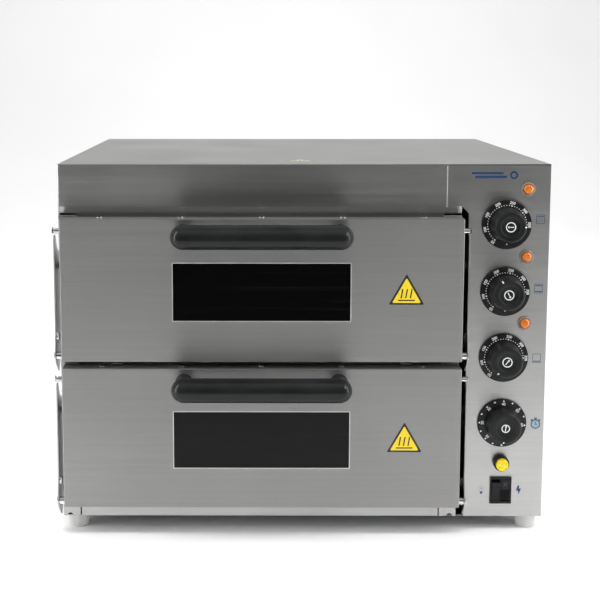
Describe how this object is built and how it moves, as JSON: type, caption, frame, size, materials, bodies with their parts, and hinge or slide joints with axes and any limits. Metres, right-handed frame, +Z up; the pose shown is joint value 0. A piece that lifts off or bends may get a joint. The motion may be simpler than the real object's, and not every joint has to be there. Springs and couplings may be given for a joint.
{
  "type": "countertop pizza oven",
  "caption": "Electric countertop pizza oven with two decks, drop-down windowed doors, black bar handles, rotary thermostats, a timer, a push button and rocker switches.",
  "frame": {"origin": "middle of the oven's bounding box on the counter, under the feet", "axes": "+X to the viewer's right, +Y from the doors to the back panel, +Z up"},
  "size_m": [0.566, 0.5698, 0.43],
  "materials": {
    "brushed_sheet": "horizontal brushed grain",
    "door_sheet": "horizontal brushed grain, duller than the casing",
    "galvanised_sheet": "plain galvanised sheet, matte",
    "chamber_sheet": "aluminised sheet, dull",
    "mineral_wool": "soft fibre blanket",
    "baking_stone": "fired clay stone, rough",
    "heating_tube": "dark oxidised steel tube",
    "ceramic": "white glazed ceramic",
    "lamp_glass": "clear",
    "door_glass": "dark tinted",
    "black_bakelite": "glossy moulded black",
    "black_plastic": "satin moulded black",
    "dial_black": "glossy black with white print",
    "orange_lens": "translucent orange",
    "clear_bezel": "translucent pale bezel",
    "yellow_plastic": "moulded yellow",
    "copper": "drawn copper tube",
    "zinc_steel": "zinc plated",
    "rubber": "pale grey rubber"
  },
  "bodies": {
    "casing": {"top_cover": "brushed_sheet", "control_fascia": "brushed_sheet", "left_side_panel": "brushed_sheet", "right_side_panel": "brushed_sheet", "back_panel": "brushed_sheet", "base_plate": "galvanised_sheet", "front_posts": "brushed_sheet", "front_rails": "brushed_sheet", "partition_panel": "galvanised_sheet", "upper_chamber": "chamber_sheet", "lower_chamber": "chamber_sheet", "upper_insulation": "mineral_wool", "lower_insulation": "mineral_wool", "upper_stone": "baking_stone", "lower_stone": "baking_stone", "stone_ledges": "chamber_sheet", "upper_ceiling_element": "heating_tube", "upper_floor_element": "heating_tube", "lower_ceiling_element": "heating_tube", "lower_floor_element": "heating_tube", "lamp_sockets": "ceramic", "lamp_glasses": "lamp_glass", "thermostats": "galvanised_sheet", "timer_body": "galvanised_sheet", "thermostat_probes": "copper", "terminal_block": "ceramic", "cable_gland": "black_plastic", "feet": "rubber", "foot_screws": "zinc_steel", "hinge_plates": "brushed_sheet", "hinge_screws": "zinc_steel", "indicator_lamps": "clear_bezel", "indicator_lenses": "orange_lens", "dial_plates": "dial_black", "button_housing": "black_plastic", "switch_housing": "black_plastic"},
    "upper_door": {"upper_door_skin": "door_sheet", "upper_door_liner": "chamber_sheet", "upper_door_glass": "door_glass", "upper_door_inner_glass": "door_glass", "upper_door_insulation": "mineral_wool", "upper_door_handle": "black_bakelite", "upper_door_studs": "zinc_steel", "upper_door_screws": "zinc_steel"},
    "lower_door": {"lower_door_skin": "door_sheet", "lower_door_liner": "chamber_sheet", "lower_door_glass": "door_glass", "lower_door_inner_glass": "door_glass", "lower_door_insulation": "mineral_wool", "lower_door_handle": "black_bakelite", "lower_door_studs": "zinc_steel", "lower_door_screws": "zinc_steel"},
    "upper_knob": {"upper_knob": "black_bakelite"},
    "middle_knob": {"middle_knob": "black_bakelite"},
    "lower_knob": {"lower_knob": "black_bakelite"},
    "timer_knob": {"timer_knob": "black_bakelite"},
    "button": {"button_cap": "yellow_plastic"},
    "light_rocker": {"light_rocker": "black_plastic"},
    "power_rocker": {"power_rocker": "black_plastic"}
  },
  "joints": [
    {"name": "upper_door_hinge", "type": "hinge", "parent": "casing", "child": "upper_door", "pos_m": [-0.0453, -0.22712, 0.211], "axis": [1, 0, 0], "range_deg": [0, 80]},
    {"name": "lower_door_hinge", "type": "hinge", "parent": "casing", "child": "lower_door", "pos_m": [-0.0453, -0.22712, 0.039], "axis": [1, 0, 0], "range_deg": [0, 80]},
    {"name": "upper_thermostat_turn", "type": "hinge", "parent": "casing", "child": "upper_knob", "pos_m": [0.2337, -0.22912, 0.3612], "axis": [0, 1, 0], "range_deg": [-270, 0]},
    {"name": "middle_thermostat_turn", "type": "hinge", "parent": "casing", "child": "middle_knob", "pos_m": [0.2337, -0.22912, 0.2838], "axis": [0, 1, 0], "range_deg": [-153, 117]},
    {"name": "lower_thermostat_turn", "type": "hinge", "parent": "casing", "child": "lower_knob", "pos_m": [0.2337, -0.22912, 0.2064], "axis": [0, 1, 0], "range_deg": [-38, 232]},
    {"name": "timer_turn", "type": "hinge", "parent": "casing", "child": "timer_knob", "pos_m": [0.2337, -0.22912, 0.129], "axis": [0, 1, 0], "range_deg": [-8, 267]},
    {"name": "button_press", "type": "slide", "parent": "casing", "child": "button", "axis": [0, 1, 0], "range_m": [0, 0.003], "stiffness_N_per_m": 800},
    {"name": "light_rocker_tilt", "type": "hinge", "parent": "casing", "child": "light_rocker", "pos_m": [0.2288, -0.21013, 0.0479], "axis": [1, 0, 0], "range_deg": [-16, 0]},
    {"name": "power_rocker_tilt", "type": "hinge", "parent": "casing", "child": "power_rocker", "pos_m": [0.2398, -0.21013, 0.0479], "axis": [1, 0, 0], "range_deg": [0, 16]}
  ]
}
